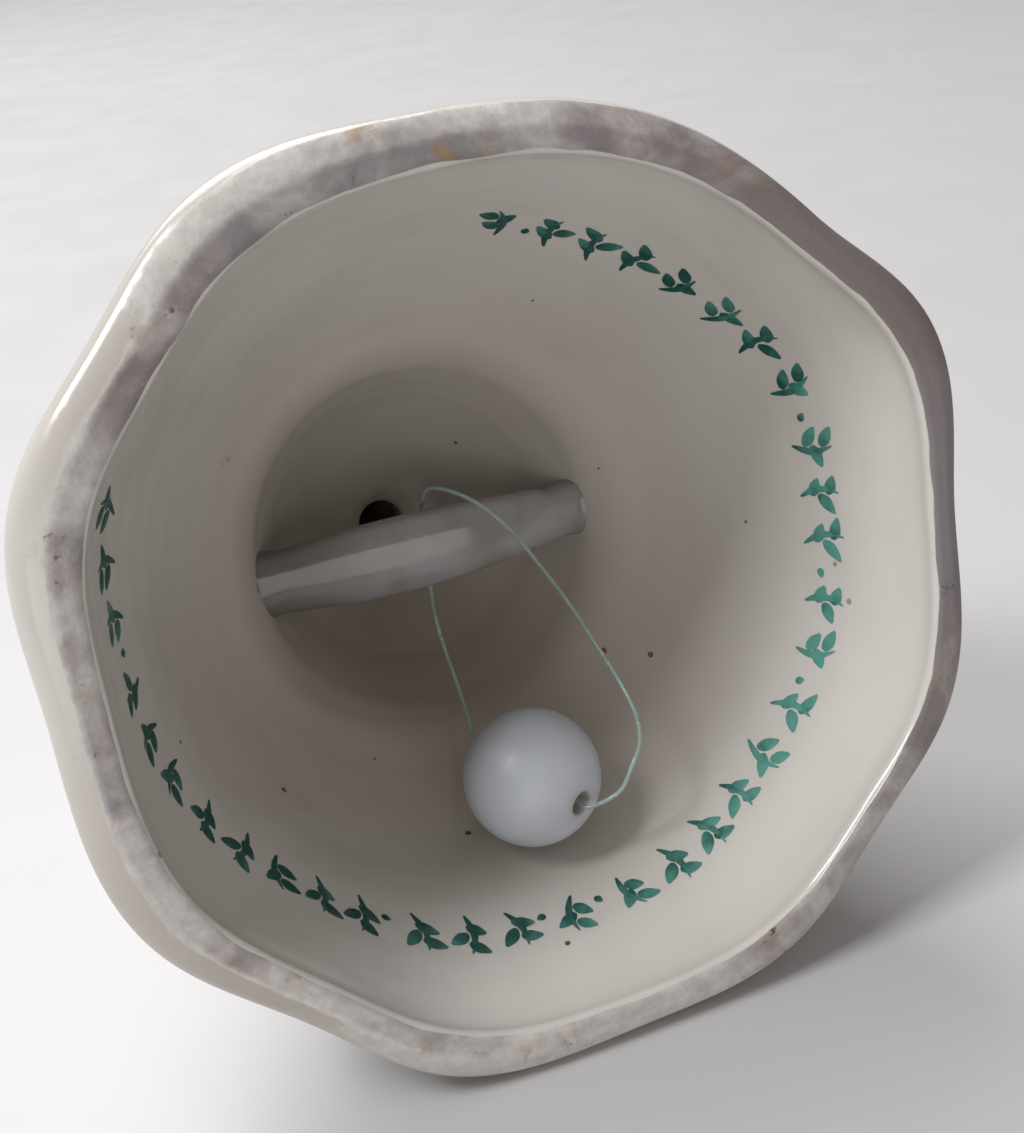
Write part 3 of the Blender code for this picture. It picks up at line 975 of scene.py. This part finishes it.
BAR_SIDES = 48
BAR_SECTIONS = 96
BAR_ROUNDING = 0.75
BAR_END_BUNCHING = 1.5
SPREAD_LENGTH = 1.1
SPREAD_AMOUNT = 0.42
BAR_SINK = 0.35
NOTCH_PLACE = 13.2


def make_bar(finish):
    """The bar: a flattened roll of clay whose ends spread where they are luted to the wall."""
    points, luted_slip_and_shade = [], []
    for i in range(BAR_SECTIONS + 1):
        even = 2 * i / BAR_SECTIONS - 1
        x = BAR_HALF_LENGTH * math.copysign(1 - (1 - abs(even)) ** BAR_END_BUNCHING, even)
        half_width = smooth_value(BAR_WIDTHS, x) / 2
        middle = BAR_CENTRE.z + BAR_RISE * (x / BAR_HALF_LENGTH) ** 2
        for k in range(BAR_SIDES):
            turn = 2 * math.pi * k / BAR_SIDES
            across, up = math.cos(turn), math.sin(turn)
            y = half_width * math.copysign(abs(across) ** BAR_ROUNDING, across)
            z = BAR_THICKNESS / 2 * math.copysign(abs(up) ** BAR_ROUNDING, up)
            wall = math.sqrt(smooth_value(INNER_WALL, middle + z) ** 2 - (BAR_CENTRE.y + y) ** 2)
            near = math.exp(-max(wall - abs(x), 0) / SPREAD_LENGTH)
            spread = 1 + SPREAD_AMOUNT * near
            dent = 0.08 * noise.noise(Vector((x, y, z)) * 0.30)
            notch = 0.30 * bump(x, NOTCH_PLACE, 0.8) * max(-across, 0) ** 3
            shape = spread - (SETBACK + notch - dent * 0.35) / half_width
            reach = wall + BAR_SINK
            if i in (0, BAR_SECTIONS):
                x_here = math.copysign(reach, x)
            else:
                x_here = min(max(x * 1.06, -reach), reach)
            points.append((x_here, BAR_CENTRE.y + y * shape, middle + z * shape))
            # Dark slip near the wall at both ends, plus painted shade over the left half of the bar.
            luted_slip_and_shade.append(min(0.5 * near + 0.7 * ease((-x - 2) / 12), 1.0))
    rings = BAR_SECTIONS + 1
    faces = grid_faces(rings, BAR_SIDES) + end_caps(rings, BAR_SIDES)
    bar = faced_out(mesh_object("bar_glazed", points, faces, finish))
    set_values(bar, "luted_slip_and_shade", luted_slip_and_shade)
    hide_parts("clapper_bar")
    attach(bar, "bell")


BEAD_EDGE = math.asin(BEAD_FLAT / BEAD_RADIUS)
BEAD_TOP = BEAD_RADIUS * math.cos(BEAD_EDGE)
BEAD_SIDES = 96
BEAD_ROWS = 56
BORE_ROWS = 4
BORE_LIP = 0.45


def bead_profile():
    """(radius, height) down the bead's outside and back up its bore."""
    top = [(BORE_RADIUS, BEAD_TOP - BORE_LIP), (BORE_RADIUS + 0.05, BEAD_TOP - 0.15),
           (BORE_RADIUS + 0.2, BEAD_TOP - 0.03), (BORE_RADIUS + BORE_LIP, BEAD_TOP),
           (BEAD_FLAT - 0.25, BEAD_TOP)]
    ball = []
    for i in range(BEAD_ROWS + 1):
        turn = BEAD_EDGE + (math.pi - 2 * BEAD_EDGE) * i / BEAD_ROWS
        ball.append((BEAD_RADIUS * math.sin(turn), BEAD_RADIUS * math.cos(turn)))
    bottom = [(radius, -z) for radius, z in reversed(top)]
    bore = []
    for i in range(1, 2 * BORE_ROWS):
        bore.append((BORE_RADIUS, (BEAD_TOP - BORE_LIP) * (i / BORE_ROWS - 1)))
    return top + ball + bottom + bore


def bead_wear(radius, z):
    """How rubbed the bead is here: most in its bore, and a little on its flats."""
    if radius < BORE_RADIUS + 0.1:
        return 1.0
    if abs(z) > BEAD_TOP - 0.2:
        return 0.45 * bump(radius, 1.6, 0.5)
    return 0.0


def make_bead(finish):
    """The drilled ball, its flats and the soft edges of its bore."""
    section = bead_profile()
    turned = BORE_AXIS.to_track_quat("Z", "Y")
    points, worn = [], []
    for radius, z in section:
        for k in range(BEAD_SIDES):
            turn = 2 * math.pi * k / BEAD_SIDES
            spot = Vector((radius * math.cos(turn), radius * math.sin(turn), z))
            points.append(BEAD_CENTRE + turned @ spot)
            worn.append(bead_wear(radius, z))
    faces = grid_faces(len(section), BEAD_SIDES, closed_rings=True)
    bead = faced_out(mesh_object("bead_white", points, faces, finish))
    set_values(bead, "worn", worn)
    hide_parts("clapper_bead")
    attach(bead, "bead")


THREAD_SPACING = 0.35
THREAD_SIDES = 12
KNOT_STEPS = 130
KNOT_SIDES = 10
KNOT_LINE = 0.24
BEND_START = 3
BEND_END = 9


def make_knot(finish):
    """The overhand knot inside the bead, as a three-lobed loop."""
    turns = []
    for i in range(KNOT_STEPS):
        t = 2 * math.pi * i / KNOT_STEPS
        wave = KNOT_RADIUS - 0.27 + 0.16 * math.cos(3 * t)
        turns.append(Vector((wave * math.cos(2 * t), wave * math.sin(2 * t),
                             0.30 * math.sin(3 * t))))
    turned = BORE_AXIS.to_track_quat("Z", "Y")
    points = [BEAD_CENTRE + turned @ point for point in tube_points(turns, KNOT_LINE, KNOT_SIDES)]
    faces = grid_faces(len(turns), KNOT_SIDES, closed_rings=True)
    knot = faced_out(mesh_object("nylon_knot", points, faces, finish))
    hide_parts("thread_knot")
    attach(knot, "clapper")
    return knot


def make_thread(finish):
    """One length of nylon from the knot out of the bead, round the bar and back to the knot."""
    outward = [BEAD_CENTRE + BORE_AXIS * along for along in IN_THE_BORE]
    inward = [BEAD_CENTRE - BORE_AXIS * along for along in reversed(IN_THE_BORE)]
    route = outward + [Vector(p) for p in RIGHT_STRAND + ROUND_THE_BAR + LEFT_STRAND] + inward
    line = spline_through(route, THREAD_SPACING)
    points = tube_points(line, THREAD_DIAMETER / 2, THREAD_SIDES)
    faces = grid_faces(len(line), THREAD_SIDES) + end_caps(len(line), THREAD_SIDES)
    thread = faced_out(mesh_object("nylon_thread", points, faces, finish))
    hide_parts("thread_loop", "thread_strand_right", "thread_strand_left")
    knot = make_knot(finish)
    towards_bead = (BEAD_CENTRE - BAR_CENTRE).normalized()
    towards_bead.x = 0
    world(BAR_CENTRE + towards_bead * BEND_START)
    world(BAR_CENTRE + towards_bead * BEND_END)
    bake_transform(thread)
    real_length = sum((b - a).length for a, b in zip(line, line[1:])) * MM
    world(line[0])
    [world(point) for point in line]


# ---- Floor and light -----------------------------------------------------------------------

FLOOR_SIZE = 6
SKY_COLOUR = (1, 0.97, 0.94, 1)
SKY_STRENGTH = 0.27

# Each light: its name, where it stands, where it aims, its width and height, its watts and colour.
LIGHTS = (
    ("window", (-0.433, -0.086, 0.562), (0, -0.05, 0.03), (0.2, 0.2), 3.2, (0.98, 0.99, 1)),
    ("far_fill", (-0.15, 0.6, 0.8), (0, 0.35, 0), (0.8, 0.8), 11.0, (1, 1, 1)),
    ("front_fill", (-0.1, -0.55, 0.11), (0, -0.05, 0.05), (0.7, 0.2), 0.8, (1, 0.98, 0.96)),
)


def make_floor():
    """The pale table that the bell lies on."""
    bpy.ops.mesh.primitive_plane_add(size=FLOOR_SIZE, location=(0, 0, 0))
    floor = bpy.context.object
    floor.name = "floor"
    nodes = Nodes("pale_table", TABLE_IOR)
    nodes.colour(nodes.mix(nodes.noise(scale=3, detail=2), TABLE, TABLE_PALE))
    nodes.roughness(nodes.steps(nodes.noise(scale=40, detail=3), 0.3, 0.7, 0.38, 0.46))
    floor.data.materials.append(nodes.material)


def area_light(name, place, aim, size, watts, colour):
    light = bpy.data.lights.new(name, "AREA")
    light.shape = "RECTANGLE"
    light.size, light.size_y = size
    light.energy = watts
    light.color = colour
    lamp = bpy.data.objects.new(name, light)
    bpy.context.scene.collection.objects.link(lamp)
    lamp.location = place
    lamp.rotation_euler = (Vector(aim) - Vector(place)).to_track_quat("-Z", "Y").to_euler()


def make_light():
    """Warm, even room light with three area lights."""
    sky = bpy.data.worlds.new("studio")
    bpy.context.scene.world = sky
    sky.use_nodes = True
    background = sky.node_tree.nodes["Background"]
    background.inputs["Color"].default_value = SKY_COLOUR
    background.inputs["Strength"].default_value = SKY_STRENGTH
    for words in LIGHTS:
        area_light(*words)
    bpy.context.scene.view_settings.view_transform = "Standard"


# ---- Assembly ------------------------------------------------------------------------------

make_camera()
make_thread(nylon_material())
porcelain = porcelain_material()
green = paint_material()
make_body(porcelain)
make_handle(porcelain)
make_bar(bar_material())
make_bead(bead_material())
make_inner_marks(green)
make_outer_marks(green)
make_specks(speck_material())
make_floor()
make_light()
